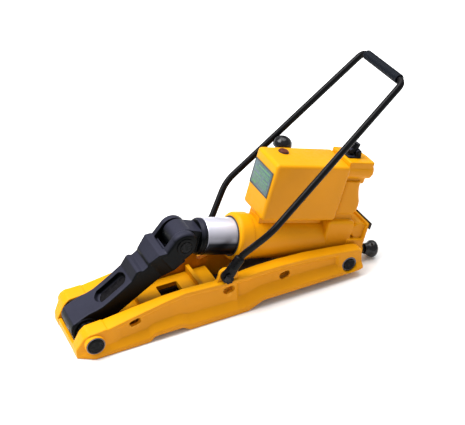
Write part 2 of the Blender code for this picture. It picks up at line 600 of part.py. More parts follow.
def make_release_valve():
    nut = slab("packing_nut", hexagon(11.5), 57.3, 64, release, DARK_STEEL)
    nut.data.transform(Matrix.Rotation(-math.pi / 2, 4, "Z"))
    cut(nut, turned("packing_bore", rod(6.4, 30, 80), (0, 0, 0), "+X", release, None, 16))
    turned("release_spindle", rod(6.0, 36, 94, 0.8), (0, 0, 0), "+X", release, DARK_STEEL, 16)
    knob = [(0, 103), (10, 102.4), (17, 100), (20.5, 96), (21, 91), (19, 87), (13, 85), (9, 80), (9, 68), (0, 68)]
    wheel = turned("release_knob", knob, (0, 0, 0), "+X", release, KNOB, 32)
    cut(wheel, turned("knob_bore", rod(6.3, 60, 95), (0, 0, 0), "+X", release, None, 16))
    smooth(wheel)


# ==== oil tank =================================================================================
def make_tank():
    u0, u1 = TANK_U
    w0, w1 = TANK_W
    inner = TANK_HALF - TANK_WALL
    body = block("oil_tank", (u0, -TANK_HALF, w0), (u1, TANK_HALF, w1), tail, YELLOW, 8, 3)
    u, y, w = BREATHER_AT
    join(body, block("breather_bracket", (u - 11, TANK_HALF - 2, w - 28), (u + 11, y, w - 8), tail, None, 1, 1))
    join(body, turned("breather_boss", rod(15, -30, -0.6, 1.0), BREATHER_AT, "+Z", tail, None, 24))
    cut(body, block("tank_hollow", (u0 + TANK_WALL, -inner, w0 - 20), (u1 - TANK_WALL, inner, w1 - TANK_WALL), tail, None))
    cut(body, turned("filler_hole", rod(8.4, -10, 10), (FILLER_AT[0], FILLER_AT[1], w1), "+Z", tail, None, 20))
    smooth(body)
    floor = (u0 + TANK_WALL + GAP, -inner + GAP, w0 + 1.5), (u1 - TANK_WALL - GAP, inner - GAP, w0 + 5.5)
    block("tank_floor", *floor, tail, YELLOW)
    saddle = block("tank_saddle", (-236, -30, 60), (-66, 30, w0 + 1.5 - GAP), tail, YELLOW, 0)
    cut(saddle, turned("saddle_seat", rod(BARREL_R + GAP, -300, 0), (0, 0, AXIS_RISE), "+X", tail, None, 40))
    cut(saddle, turned("saddle_relief", rod(COLLAR_R + GAP, -300, -249), (0, 0, AXIS_RISE), "+X", tail, None, 40))
    plate_y, plate_w, thick = PLATE_SIZE
    low = (u0 - GAP - thick, -plate_y / 2, PLATE_W - plate_w / 2)
    block("name_plate", low, (u0 - GAP, plate_y / 2, PLATE_W + plate_w / 2), tail, PLATE)
    at = (FILLER_AT[0], FILLER_AT[1], w1)
    turned("filler_washer", ring(12.5, 8.4, GAP, 1.8), at, "+Z", tail, SEAL, 24)
    plug = turned("filler_plug", [(0, 5), (9.5, 5), (11.5, 3.5), (11.5, 2.1), (8, 2.1), (8, -9), (0, -9)], at, "+Z", tail, PLUG, 24)
    cut(plug, block("plug_slot", (at[0] - 14, at[1] - 1.5, w1 + 3), (at[0] + 14, at[1] + 1.5, w1 + 8), tail, None))
    smooth(plug)
    cap = [(0, 27), (8, 26), (15, 22.5), (20, 16.5), (22, 9), (22, 2.5), (20.5, 1), (0, 1)]
    turned("breather_cap", cap, (0, 0, GAP), "+Z", breather, KNOB, 32)
    turned("side_plug", rod(7, TANK_HALF + GAP, TANK_HALF + 4, 1.0), (-152, 0, 150), "-Y", tail, YELLOW, 16)


# ==== carrying handle ==========================================================================
def rounded(points, reach, steps):
    """The route through points with each corner cut back by its reach and rounded."""
    route = [Vector(points[0])]
    for before, corner, after, cut_back in zip(points, points[1:], points[2:], reach):
        corner = Vector(corner)
        start = corner + (Vector(before) - corner).normalized() * cut_back
        end = corner + (Vector(after) - corner).normalized() * cut_back
        for i in range(steps + 1):
            t = i / steps
            route.append(start * (1 - t) ** 2 + corner * 2 * t * (1 - t) + end * t * t)
    route.append(Vector(points[-1]))
    return route


def make_handle():
    px, pz = HANDLE_PIVOT
    way = (math.cos(EYE_ANGLE), math.sin(EYE_ANGLE))
    near = [(way[0] * ROD_START, -EYE_Y, way[1] * ROD_START), (way[0] * ROD_KINK, -EYE_Y, way[1] * ROD_KINK)]
    near += [(ROD_BEND[0] - px, -ROD_BEND[1], ROD_BEND[2] - pz), (ROD_CORNER[0] - px, -ROD_CORNER[1], ROD_CORNER[2] - pz)]
    far = [(x, -y, z) for x, y, z in reversed(near)]
    route = rounded(near + far, (10, 26, 17, 17, 26, 10), 5)
    curve = bpy.data.curves.new("handle_rod", "CURVE")
    curve.dimensions = "3D"
    curve.bevel_depth = ROD_R * MM
    curve.bevel_resolution = 3
    curve.use_fill_caps = True
    spline = curve.splines.new("POLY")
    spline.points.add(len(route) - 1)
    for point, place in zip(spline.points, route):
        point.co = (*(place * MM), 1.0)
    flat = bpy.data.objects.new("handle_route", curve)
    parts.objects.link(flat)
    smooth(from_curve("handle_rod", flat, handle, BLACK))
    for side in (-1, 1):
        tag = "near" if side < 0 else "far"
        low, high = sorted((side * (EYE_Y - EYE_THICK / 2), side * (EYE_Y + EYE_THICK / 2)))
        turn = math.degrees(EYE_ANGLE)
        ends = arc((0, 0), 14, turn + 90, turn + 270, 10) + arc((way[0] * 30, way[1] * 30), 11, turn - 90, turn + 90, 8)
        eye = slab(f"handle_eye_{tag}", ends, low, high, handle, BLACK)
        stem = turned(f"eye_stem_{tag}", rod(12, 24, 54, 1.0), (0, side * EYE_Y, 0), "+X", handle, None, 24)
        stem.rotation_euler = (0, math.pi / 2 - EYE_ANGLE, 0)
        join(eye, stem)
        bore = turned(f"eye_bore_{tag}", rod(ROD_R + 0.35, ROD_START - 0.6, 70), (0, side * EYE_Y, 0), "+X", handle, None, 20)
        bore.rotation_euler = (0, math.pi / 2 - EYE_ANGLE, 0)
        cut(eye, bore)
        cut(eye, turned(f"eye_hole_{tag}", rod(7.4, -90, 90), (0, 0, 0), "-Y", handle, None, 20))
        smooth(eye)
    ribs = 10
    pitch = 2 * GRIP_HALF / ribs
    profile = []
    for i in range(ribs):
        top = GRIP_HALF - i * pitch
        profile += [(GRIP_R - 1.6, top), (GRIP_R, top - pitch * 0.25), (GRIP_R, top - pitch * 0.65)]
    profile += [(GRIP_R - 1.6, -GRIP_HALF), (ROD_R + GAP, -GRIP_HALF), (ROD_R + GAP, GRIP_HALF)]
    turned("handle_grip", profile, (ROD_CORNER[0] - px, 0, ROD_CORNER[2] - pz), "-Y", handle, GRIP, 14)


make_wall(-1)
make_wall(1)
make_floor()
make_base_pins()
make_handle_bolts()
make_arm()
make_cylinder()
make_plunger()
make_pump_block()
make_pump()
make_release_valve()
make_tank()
make_handle()
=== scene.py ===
"""The fine surface, finish and studio picture of the hydraulic rail-track jack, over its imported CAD."""
import json
import math

import bmesh
import bpy
from mathutils import Matrix, Vector


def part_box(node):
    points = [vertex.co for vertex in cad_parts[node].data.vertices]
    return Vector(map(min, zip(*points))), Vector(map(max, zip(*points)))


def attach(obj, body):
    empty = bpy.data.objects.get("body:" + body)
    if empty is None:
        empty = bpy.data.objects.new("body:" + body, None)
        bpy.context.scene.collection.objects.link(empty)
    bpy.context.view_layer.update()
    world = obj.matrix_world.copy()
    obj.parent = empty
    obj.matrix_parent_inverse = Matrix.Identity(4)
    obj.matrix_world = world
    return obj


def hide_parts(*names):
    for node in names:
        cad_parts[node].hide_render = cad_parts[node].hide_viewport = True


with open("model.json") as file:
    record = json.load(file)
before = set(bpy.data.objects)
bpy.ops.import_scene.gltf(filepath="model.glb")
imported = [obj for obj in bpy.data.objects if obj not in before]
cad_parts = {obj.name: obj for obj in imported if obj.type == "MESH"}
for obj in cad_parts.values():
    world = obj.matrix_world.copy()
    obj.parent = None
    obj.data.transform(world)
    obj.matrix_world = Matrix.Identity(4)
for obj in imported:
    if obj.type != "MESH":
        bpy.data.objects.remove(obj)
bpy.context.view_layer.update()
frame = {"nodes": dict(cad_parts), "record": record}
MM = 0.001
joints = {j["name"]: j for j in frame["record"]["behaviour"]["joints"]}
finish_of = {s["node"]: s["material_slot"] for s in frame["record"]["subparts"]}


# ==== frames: every piece is drawn in millimetres in the frame of the joint it belongs to ==========
def axes(origin, ahead, up=None):
    ahead = Vector(ahead).normalized()
    side = Vector((0, 1, 0))
    up = Vector(up).normalized() if up else ahead.cross(side)
    m = Matrix((ahead, side, up)).transposed().to_4x4()
    m.translation = Vector(origin)
    return m


def middle(node):
    lo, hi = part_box(node)
    return (lo + hi) / 2


base = Matrix.Identity(4)
tail_u = -Vector(joints["plunger_slide"]["axis"])
tail_w = Vector(joints["pump_stroke"]["axis"])
tail = axes(joints["cylinder_tilt"]["pos_m"], tail_u, tail_w)
root = Vector(joints["arm_hinge"]["pos_m"])
arm = axes(root, middle("fork_pin") - root)
REACH = (middle("fork_pin") - root).length / MM
handle = axes(joints["handle_fold"]["pos_m"], (1, 0, 0), (0, 0, 1))
release = axes(joints["release_turn"]["pos_m"], tail_u, tail_w)
breather = axes(joints["breather_turn"]["pos_m"], tail_u, tail_w)
TURN = {"X": Matrix.Rotation(math.pi / 2, 4, "Y"), "Y": Matrix.Rotation(-math.pi / 2, 4, "X"),
        "-Y": Matrix.Rotation(math.pi / 2, 4, "X"), "Z": Matrix.Identity(4)}


# ==== mesh tools ===================================================================================
def between(table, x):
    for (x0, v0), (x1, v1) in zip(table, table[1:]):
        if x <= x1:
            return v0 + (v1 - v0) * max(0.0, x - x0) / (x1 - x0)
    return table[-1][1]


def eased(table, x, reach):
    """A table's value at x with its corners eased over reach either side."""
    return sum(between(table, x + reach * k / 3) for k in range(-3, 4)) / 7


def arc(centre, r, start, end, steps):
    turns = [math.radians(start + (end - start) * i / steps) for i in range(steps + 1)]
    return [(centre[0] + r * math.cos(t), centre[1] + r * math.sin(t)) for t in turns]


def soften(points, r, steps=4, closed=True):
    """The outline with each corner rounded by about r."""
    out = []
    n = len(points)
    for i, p in enumerate(points):
        here = Vector(p)
        if not closed and i in (0, n - 1):
            out.append(tuple(here))
            continue
        before, after = Vector(points[i - 1]), Vector(points[(i + 1) % n])
        reach = min(r, (before - here).length * 0.48, (after - here).length * 0.48)
        start, end = here + (before - here).normalized() * reach, here + (after - here).normalized() * reach
        for k in range(steps + 1):
            t = k / steps
            out.append(tuple(start * (1 - t) ** 2 + here * 2 * t * (1 - t) + end * t * t))
    return out


def to_object(name, bm, m):
    bmesh.ops.remove_doubles(bm, verts=bm.verts, dist=0.004)
    bmesh.ops.recalc_face_normals(bm, faces=bm.faces)
    bm.transform(m @ Matrix.Scale(MM, 4))
    mesh = bpy.data.meshes.new(name)
    bm.to_mesh(mesh)
    bm.free()
    ob = bpy.data.objects.new(name, mesh)
    bpy.context.scene.collection.objects.link(ob)
    return ob


def settle(ob):
    """Turns what the modifiers make into the object's own mesh."""
    done = bpy.data.meshes.new_from_object(ob.evaluated_get(bpy.context.evaluated_depsgraph_get()))
    ob.modifiers.clear()
    ob.data = done
    return ob


def rounded(ob, width, segments=3, angle=30):
    edge = ob.modifiers.new("rounding", "BEVEL")
    edge.width = width * MM
    edge.segments = segments
    edge.limit_method = "ANGLE"
    edge.angle_limit = math.radians(angle)
    return settle(ob)


def skin(bm, rings, closed_ring, caps):
    rows = [[bm.verts.new(p) for p in ring] for ring in rings]
    count = len(rows[0])
    for a, b in zip(rows, rows[1:]):
        for i in range(count if closed_ring else count - 1):
            j = (i + 1) % count
            bm.faces.new((a[i], a[j], b[j], b[i]))
    if caps:
        bm.faces.new(rows[0])
        bm.faces.new(list(reversed(rows[-1])))


def lathe(name, profile, at, axis, m, steps=96, ease=0.8):
    """A turned piece; the profile is (radius, height) up the axis, open when it starts on the axis."""
    solid = profile[0][0] == 0
    line = soften(profile, ease, 3, closed=not solid)
    bm = bmesh.new()
    rings = [[(r * math.cos(2 * math.pi * k / steps), r * math.sin(2 * math.pi * k / steps), h)
              for k in range(steps)] for r, h in line]
    if not solid:
        rings.append(rings[0])
    skin(bm, rings, True, False)
    bmesh.ops.remove_doubles(bm, verts=bm.verts, dist=0.0005)
    return to_object(name, bm, m @ Matrix.Translation(Vector(at) * MM) @ TURN[axis])


def prism(name, outline, y0, y1, m, width=1.5, segments=3):
    bm = bmesh.new()
    skin(bm, [[(a, y0, b) for a, b in outline], [(a, y1, b) for a, b in outline]], True, True)
    ob = to_object(name, bm, m)
    return rounded(ob, width, segments) if width else ob


def stack(name, rings, m):
    bm = bmesh.new()
    skin(bm, rings, True, True)
    return to_object(name, bm, m)


def brick(name, lo, hi, m, r=2.0, segments=4):
    bm = bmesh.new()
    bmesh.ops.create_cube(bm, size=1)
    lo, hi = Vector(lo), Vector(hi)
    for v in bm.verts:
        v.co = Vector([(lo[i] + hi[i]) / 2 + v.co[i] * (hi[i] - lo[i]) for i in range(3)])
    if r:
        bmesh.ops.bevel(bm, geom=bm.edges[:], offset=r, segments=segments, profile=0.5, affect="EDGES",
                        clamp_overlap=True)
    return to_object(name, bm, m)


def cut(ob, *tools):
    for tool in tools:
        change = ob.modifiers.new("cut", "BOOLEAN")
        change.operation = "DIFFERENCE"
        change.object = tool
        settle(ob)
        bpy.data.objects.remove(tool, do_unlink=True)
    return ob


def together(name, *obs):
    """Several meshes as one object."""
    bm = bmesh.new()
    for ob in obs:
        bm.from_mesh(ob.data)
        bpy.data.objects.remove(ob, do_unlink=True)
    mesh = bpy.data.meshes.new(name)
    bm.to_mesh(mesh)
    bm.free()
    whole = bpy.data.objects.new(name, mesh)
    bpy.context.scene.collection.objects.link(whole)
    return whole


def cast(name, voxel, passes, *obs):
    """The pieces run into one another as one casting with soft fillets."""
    whole = together(name, *obs)
    grid = whole.modifiers.new("casting", "REMESH")
    grid.mode = "VOXEL"
    grid.voxel_size = voxel * MM
    soft = whole.modifiers.new("fillets", "SMOOTH")
    soft.factor = 0.5
    soft.iterations = passes
    settle(whole)
    return whole


def show(ob, body, slot, *nodes, sharp=38):
    """Finishes a piece: shading, material, the body it rides and the CAD it stands for."""
    ob.data.materials.clear()
    ob.data.materials.append(look[slot])
    slot = {"label_print": "name_plate", "label_border": "name_plate", "black_gloss": "black_enamel",
            "ring_steel": "blackened_steel"}.get(slot, slot)
    ob.data.shade_smooth()
    if sharp:
        ob.data.set_sharp_from_angle(angle=math.radians(sharp))
    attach(ob, body)
    if nodes:
        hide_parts(*nodes)
    return ob


# ==== materials ====================================================================================
def shader(name, colour, rough, metal=0.0, shine=0.5, tone=0.9, grain=60.0, bump=0.02, wear=None,
           wear_amount=0.5, grime_and_shade=0.5, coat=0.0, coat_rough=0.1, rough_swing=0.08, painted_light_colour=None, painted_light_by="Z",
           painted_light_from=0.15, painted_light_to=0.75):
    """A worn procedural finish: broad and fine colour variation, edge wear, grime and painted shade in
    hollows, bump.

    painted_light_colour is a lighter colour painted on the faces the lamps light most: with painted_light_by
    "Z" those that look up, with "Y" those turned away from the two flanks; the other faces keep the base
    colour as painted shade.
    """
    mat = bpy.data.materials.new(name)
    mat.use_nodes = True
    tree = mat.node_tree
    bsdf = tree.nodes["Principled BSDF"]
    bsdf.inputs["Metallic"].default_value = metal
    bsdf.inputs["Specular IOR Level"].default_value = shine
    bsdf.inputs["Coat Weight"].default_value = coat
    bsdf.inputs["Coat Roughness"].default_value = coat_rough
    place = tree.nodes.new("ShaderNodeTexCoord")

    def noise(size, detail):
        node = tree.nodes.new("ShaderNodeTexNoise")
        node.inputs["Scale"].default_value = size
        node.inputs["Detail"].default_value = detail
        tree.links.new(place.outputs["Object"], node.inputs["Vector"])
        return node.outputs["Fac"]

    def ramp(source, low, high, dark, light):
        node = tree.nodes.new("ShaderNodeMapRange")
        node.inputs["From Min"].default_value = low
        node.inputs["From Max"].default_value = high
        node.inputs["To Min"].default_value = dark
        node.inputs["To Max"].default_value = light
        tree.links.new(source, node.inputs["Value"])
        return node.outputs["Result"]

    def mix(factor, a, b):
        node = tree.nodes.new("ShaderNodeMix")
        node.data_type = "RGBA"
        tree.links.new(factor, node.inputs["Factor"])
        for value, socket in ((a, node.inputs["A"]), (b, node.inputs["B"])):
            if isinstance(value, tuple):
                socket.default_value = (*value, 1.0)
            else:
                tree.links.new(value, socket)
        return node.outputs["Result"]

    def times(a, b):
        node = tree.nodes.new("ShaderNodeMath")
        node.operation = "MULTIPLY"
        tree.links.new(a, node.inputs[0])
        tree.links.new(b, node.inputs[1])
        return node.outputs["Value"]

    broad, fine = noise(7.0, 3.0), noise(grain, 5.0)
    shade = mix(ramp(broad, 0.35, 0.65, 0.0, 1.0), tuple(c * tone for c in colour), colour)
    # Painted light: faces picked by their facing get the lighter colour, and the others keep the base colour
    # as painted shade.
    if painted_light_colour:
        facing = tree.nodes.new("ShaderNodeSeparateXYZ")
        tree.links.new(place.outputs["Normal"], facing.inputs["Vector"])
        light = mix(ramp(broad, 0.35, 0.65, 0.0, 1.0), tuple(c * tone for c in painted_light_colour), painted_light_colour)
        slope = tree.nodes.new("ShaderNodeMath")
        slope.operation = "ABSOLUTE" if painted_light_by == "Y" else "ADD"
        slope.inputs[1].default_value = 0.0
        tree.links.new(facing.outputs[painted_light_by], slope.inputs[0])
        shade = mix(ramp(slope.outputs["Value"], painted_light_from, painted_light_to, 0.0, 1.0), shade, light)
    point = tree.nodes.new("ShaderNodeNewGeometry").outputs["Pointiness"]
    # Grime and painted shade: hollows (low pointiness) are darkened towards 35% of the colour.
    hollow = times(ramp(point, 0.49, 0.42, 0.0, grime_and_shade), ramp(fine, 0.3, 0.7, 0.4, 1.0))
    shade = mix(hollow, shade, tuple(c * 0.35 for c in colour))
    worn = times(ramp(point, 0.53, 0.60, 0.0, wear_amount), ramp(fine, 0.45, 0.62, 0.0, 1.0))
    shade = mix(worn, shade, wear or tuple(min(1.0, c * 1.5 + 0.05) for c in colour))
    tree.links.new(shade, bsdf.inputs["Base Color"])
    tree.links.new(ramp(fine, 0.3, 0.7, rough - rough_swing, rough + rough_swing), bsdf.inputs["Roughness"])
    relief = tree.nodes.new("ShaderNodeBump")
    relief.inputs["Strength"].default_value = bump
    relief.inputs["Distance"].default_value = 0.002
    tree.links.new(fine, relief.inputs["Height"])
    tree.links.new(relief.outputs["Normal"], bsdf.inputs["Normal"])
    return mat


def paint(name, wear_amount, grime_and_shade):
    """The yellow paint; the coarse solids take it with no wear or hollow grime and painted shade, which need
    a fine mesh.
    """
    # Painted light and shade: the orange base colour is the painted shade of the two flanks; faces turned
    # away from them get the lighter yellow painted light colour.
    return shader(name, (0.62, 0.238, 0.003), 0.42, shine=0.10, tone=0.90, painted_light_colour=(0.74, 0.318, 0.002),
                  painted_light_by="Y", painted_light_from=0.97, painted_light_to=0.5, grain=90, bump=0.06, wear=(1.0, 0.60, 0.10),
                  wear_amount=wear_amount, grime_and_shade=grime_and_shade, coat=0.03, coat_rough=0.15)


look = {
    "yellow_paint": paint("yellow_paint", 0.5, 0.7),
    "yellow_even": paint("yellow_even", 0.0, 0.0),
    # Painted highlight: up-facing faces get a lighter blue-grey, and the sides stay near black as painted
    # shade.
    "black_enamel": shader("black_enamel", (0.0012, 0.0018, 0.0022), 0.38, shine=0.07, tone=0.75,
                           painted_light_colour=(0.028, 0.0285, 0.045), painted_light_from=0.42, painted_light_to=0.86, grain=120, bump=0.12,
                           wear=(0.035, 0.035, 0.045), wear_amount=0.22, grime_and_shade=0.6),
    # Painted highlight: up-facing faces get a slightly lighter black.
    "black_gloss": shader("black_gloss", (0.0012, 0.0018, 0.0020), 0.30, shine=0.10, tone=0.75,
                          painted_light_colour=(0.0055, 0.0050, 0.0062), grain=120, bump=0.10, wear=(0.03, 0.028, 0.03),
                          wear_amount=0.1),
    # Painted reflection: up-facing faces get a bright lilac colour and the rest stays near black, as the
    # chrome's lit upper half and dark lower half.
    "hard_chrome": shader("hard_chrome", (0.004, 0.005, 0.008), 0.30, 0.6, painted_light_colour=(0.76, 0.75, 0.86),
                          painted_light_from=0.08, painted_light_to=0.78, shine=0.2, tone=0.985, grain=25, bump=0.0005,
                          wear=(0.95, 0.93, 0.95), wear_amount=0.1, grime_and_shade=0.1, rough_swing=0.015),
    "blackened_steel": shader("blackened_steel", (0.0012, 0.0014, 0.0016), 0.14, 0.0, shine=0.07, grain=160,
                              bump=0.03, rough_swing=0.04, wear=(0.30, 0.30, 0.32), wear_amount=0.06),
    "ring_steel": shader("ring_steel", (0.10, 0.10, 0.11), 0.28, 1.0, grain=200, bump=0.03, wear_amount=0.3),
    "bronze": shader("bronze", (0.45, 0.27, 0.10), 0.35, 1.0, grain=160, bump=0.03),
    "seal_rubber": shader("seal_rubber", (0.016, 0.016, 0.016), 0.6, grain=200, bump=0.06),
    "grip_rubber": shader("grip_rubber", (0.0030, 0.0050, 0.0095), 0.5, shine=0.10, tone=0.8, grain=240,
                          bump=0.08, wear=(0.028, 0.038, 0.060), wear_amount=0.35),
    "knob_plastic": shader("knob_plastic", (0.003, 0.003, 0.004), 0.24, shine=0.35, grain=200, bump=0.02,
                           wear=(0.03, 0.03, 0.03)),
    "plug_brown": shader("plug_brown", (0.105, 0.020, 0.007), 0.45, shine=0.2, grain=200, bump=0.05,
                         tone=0.8),
    "name_plate": shader("name_plate", (0.06, 0.12, 0.14), 0.35, 0.0, grain=160, bump=0.02, tone=0.45),
    "label_print": shader("label_print", (0.07, 0.22, 0.06), 0.45, grain=200, bump=0.02),
    "label_border": shader("label_border", (0.012, 0.016, 0.012), 0.4, grain=200, bump=0.02),
}
for name, node in frame["nodes"].items():
    node.data.materials.clear()
    node.data.materials.append(look["yellow_even" if finish_of[name] == "yellow_paint" else finish_of[name]])


# ==== base =========================================================================================
# Each table gives one line of the side walls at stations along the base: (x, distance out or height).
INNER = [(-352, 50), (-272, 50), (-200, 54), (-140, 60), (-100, 65), (15, 65), (60, 60), (352, 60)]
TOP = [(-352, 22), (-344, 36), (-334, 53), (-322, 63), (-283, 65.5), (-280, 63.5), (-200, 77),
       (-140, 88), (-95, 94), (-50, 91.5), (5, 88), (40, 91), (90, 94), (140, 94), (210, 90),
       (285, 80.5), (340, 72), (352, 66)]
OUTER_TOP = [(-352, 76), (-318, 91), (-280, 89), (-200, 86), (-95, 85), (5, 86), (60, 90), (338, 90),
             (352, 87)]
OUTER_FOOT = [(-352, 77), (-317, 99), (342, 99), (352, 95)]
SOLE = [(-352, 0), (-188, 0), (-178, 11), (-109, 11), (-93, 0), (52, 0), (88, 17), (352, 17)]
RECESS = [(-352, 0), (-262, 0), (-252, 2.5), (20, 2.5), (28, 1), (34, 9), (284, 9), (290, 0), (352, 0)]
CHANNEL = [(-352, 0.02), (-283, 0.02), (-272, 0.8), (284, 0.75), (292, 0.02), (352, 0.02)]
BASE_END = 352
WALL_EASE = 3.2
STATION_STEP = 5
STEPS_IN_WALL = (-283, -280, 28, 34, 284, 290)
WEB_SLOTS = ((-216, 57), (10, 66), (152, 58))
SLOT_R, SLOT_REACH, SLOT_RISE = 9, 5, 1
PIN_BORE = 15.3
SIDES = (("near", "-Y"), ("far", "Y"))


def wall_ring(x, side):
    inner, top, outer = eased(INNER, x, 6), eased(TOP, x, 1.5), eased(OUTER_TOP, x, 8)
    foot, sole, recess = eased(OUTER_FOOT, x, 5), eased(SOLE, x, 4), eased(RECESS, x, 2.5)
    outer, foot = min(outer, between(OUTER_TOP, x)), min(foot, between(OUTER_FOOT, x))
    if abs(x) == BASE_END:
        top, sole = between(TOP, x), between(SOLE, x)
    deep = top - sole
    lip = min(9.0, deep * 0.3)
    web = outer - recess
    roof = sole + (deep - 10) * between(CHANNEL, x)
    points = [(inner, sole), (inner, top), (outer, top), (outer + 0.1, top - lip),
              (web + 0.2, top - lip - 1.5 - recess * 0.7), (web + 0.4, sole + deep * 0.36 + recess * 0.6),
              (foot, sole + deep * 0.16), (foot, sole), (foot - 9, sole), (web - 9, roof), (inner + 9, roof),
              (inner + 8, sole)]
    return [(x, side * y, z) for y, z in soften(points, WALL_EASE, 3)]


def build_wall(side):
    tag, axis = ("near", "-Y") if side < 0 else ("far", "Y")
    knots = {x for table in (INNER, TOP, OUTER_TOP, OUTER_FOOT, SOLE, RECESS, CHANNEL) for x, value in table}
    close = {x + d for x in STEPS_IN_WALL for d in (-2, 2)}
    stations = sorted(knots | set(range(-350, 351, STATION_STEP)) | close)
    wall = stack(f"wall_{tag}", [wall_ring(x, side) for x in stations], base)
    pivot = handle.translation / MM
    front, rear = root / MM, Vector(joints["cylinder_tilt"]["pos_m"]) / MM
    for x, z in WEB_SLOTS:
        slot = (arc((x + SLOT_REACH, z + SLOT_RISE), SLOT_R, -90, 90, 20)
                + arc((x - SLOT_REACH, z - SLOT_RISE), SLOT_R, 90, 270, 20))
        cut(wall, prism("hole", slot, *sorted((side * 40.0, side * 110.0)), base, 0))
    bore = [(0, 40), (PIN_BORE, 40), (PIN_BORE, 120), (0, 120)]
    cut(wall, lathe("front_bore", bore, (front.x, 0, front.z), axis, base, 64, 0))
    bore = [(0, 40), (PIN_BORE, 40), (PIN_BORE, 88), (18.8, 88), (20.2, 99.5), (20.2, 120), (0, 120)]
    cut(wall, lathe("rear_bore", bore, (rear.x, 0, rear.z), axis, base, 64, 0))
    collar = [(15.4, 84), (22.6, 84), (22.6, 97), (15.4, 97)]
    boss = lathe("front_boss", collar, (front.x, 0, front.z), axis, base, 80, 1.4)
    outline = ([(pivot.x - 24, 84), (pivot.x + 21, 84), (pivot.x + 21, 92)]
               + arc((pivot.x, pivot.z), 15.5, -20, 180, 28) + [(pivot.x - 20, 92), (pivot.x - 24, 88)])
    lug = prism("lug", outline, *sorted((side * 66.0, side * 76.0)), base, 1.6)
    outline = [(pivot.x + 15, 82), (pivot.x + 28, 82), (pivot.x + 28, pivot.z + 10),
               (pivot.x + 26, pivot.z + 8.2), (pivot.x + 15, pivot.z - 5.6)]
    stop = prism("stop", outline, *sorted((side * 72, side * 82)), base, 1.0)
    whole = together(f"base_wall_{tag}", wall, boss, lug, stop)
    show(whole, "base", "yellow_paint", f"side_wall_{tag}", sharp=32)


for side in (-1, 1):
    build_wall(side)

for tag, axis in SIDES:
    at = (root.x / MM, 0, root.z / MM)
    head = [(0, 99.45), (3.4, 99.45), (4.2, 98.9), (17.0, 98.9), (19.0, 97.6), (19.0, 97.1), (15, 97.1),
            (15, 60), (0, 60)]
    show(lathe(f"front_pin_end_{tag}", head, at, axis, base, 64, 0.8), "base", "blackened_steel")
    ring = [(19.3, 97.05), (21.2, 97.05), (21.2, 98.2), (19.3, 98.2)]
    show(lathe(f"front_ring_{tag}", ring, at, axis, base, 64, 0.5), "base", "ring_steel",
         f"front_pin_ring_{tag}")
    at = tuple(v / MM for v in joints["cylinder_tilt"]["pos_m"])
    head = [(0, 91.9), (4.2, 91.9), (5.0, 91.0), (12.5, 91.0), (15, 90), (15, 60), (0, 60)]
    show(lathe(f"tail_pin_end_{tag}", head, at, axis, base, 64, 0.6), "base", "blackened_steel")
    ring = [(15.2, 88.2), (18.5, 88.2), (18.5, 90.4), (15.2, 90.4)]
    show(lathe(f"tail_ring_{tag}", ring, at, axis, base, 64, 0.6), "base", "ring_steel",
         f"tail_pin_ring_{tag}")

# ==== arm ==========================================================================================
# The arm is drawn in (along, above) its own line from hinge to fork pin.
WEB_HALF, ROOT_HALF, EAR_IN, EAR_R = 36, 38, 26.8, 32
crown = [(12, 31.5), (30, 28.5), (46, 22.5), (62, 18.5), (84, 17.5), (118, 17.5), (146, 18.5), (168, 28),
         (174, 26.5), (179, 19.5), (195, 19.5), (199, 24), (231, 29.5), (243.5, 20.5)]
keel = [(243.5, -30), (178, -27), (115, -25.5), (60, -24), (12, -27.5)]
side_view = crown + keel + arc((0, 0), 30, 246, 200, 8) + arc((-1, 4), 31, 180, 108, 12)
web = prism("web", side_view, -WEB_HALF, WEB_HALF, arm, 2.2)
deep_a, deep_b, deep_half = 62.0, 134.0, 24.0
floor_plan = arc((deep_a + 17, 0), deep_half, 120, 240, 20) + arc((deep_b - 17, 0), deep_half, -60, 60, 20)
centre = (deep_a + deep_b) / 2


def pocket_ring(n, scale_a, scale_y):
    return [(centre + (a - centre) * scale_a, y * scale_y, n) for a, y in floor_plan]


scoop = [pocket_ring(n, 1 - inset / 38, 1 - inset / deep_half)
         for n, inset in ((4.5, 6.0), (6.0, 3.2), (9.0, 1.4), (16.5, 0.3), (30.0, 0.0))]
cut(web, stack("scoop", scoop, arm))
eye_side = [(0, -ROOT_HALF), (29.6, -ROOT_HALF), (29.6, ROOT_HALF), (0, ROOT_HALF)]
eye_root = lathe("eye_root", eye_side, (0, 0, 0), "Y", arm, 64, 1.5)
flare = stack("flare", [[(a, -h, k), (a, h, k), (a, h, t), (a, -h, t)] for a, h, t, k in
                        ((199.5, 35.4, 23.6, -28.5), (231, 46, 29.2, -30), (243, 46, 20.9, -30.5))], arm)
ears = []
throat_side = [(240, 12)] + arc((REACH, 0), 37.8, 162, 236, 24) + [(240, -30)]
throat = prism("throat", throat_side, -46, 46, arm, 0)
for side in (-1, 1):
    rings = []
    for y, r in ((EAR_IN, EAR_R), (38.5, EAR_R), (42.0, 30.6), (44.8, 28.0), (46.5, 24)):
        drop = EAR_R - r
        rings.append([(a, side * y, n) for a, n in
                      [(228, -27 + drop * 0.3), (REACH - 9, -31.5 + drop)] + arc((REACH, 0), r, -100, 112, 40)
                      + [(244, 22 - drop * 0.8), (231, 27.5 - drop), (228, 27 - drop)]])
    ears.append(stack("ear", rings, arm))
show(cast("arm_casting", 1.1, 5, web, eye_root, flare, throat, *ears), "arm", "black_enamel",
     "lifting_arm", sharp=None)
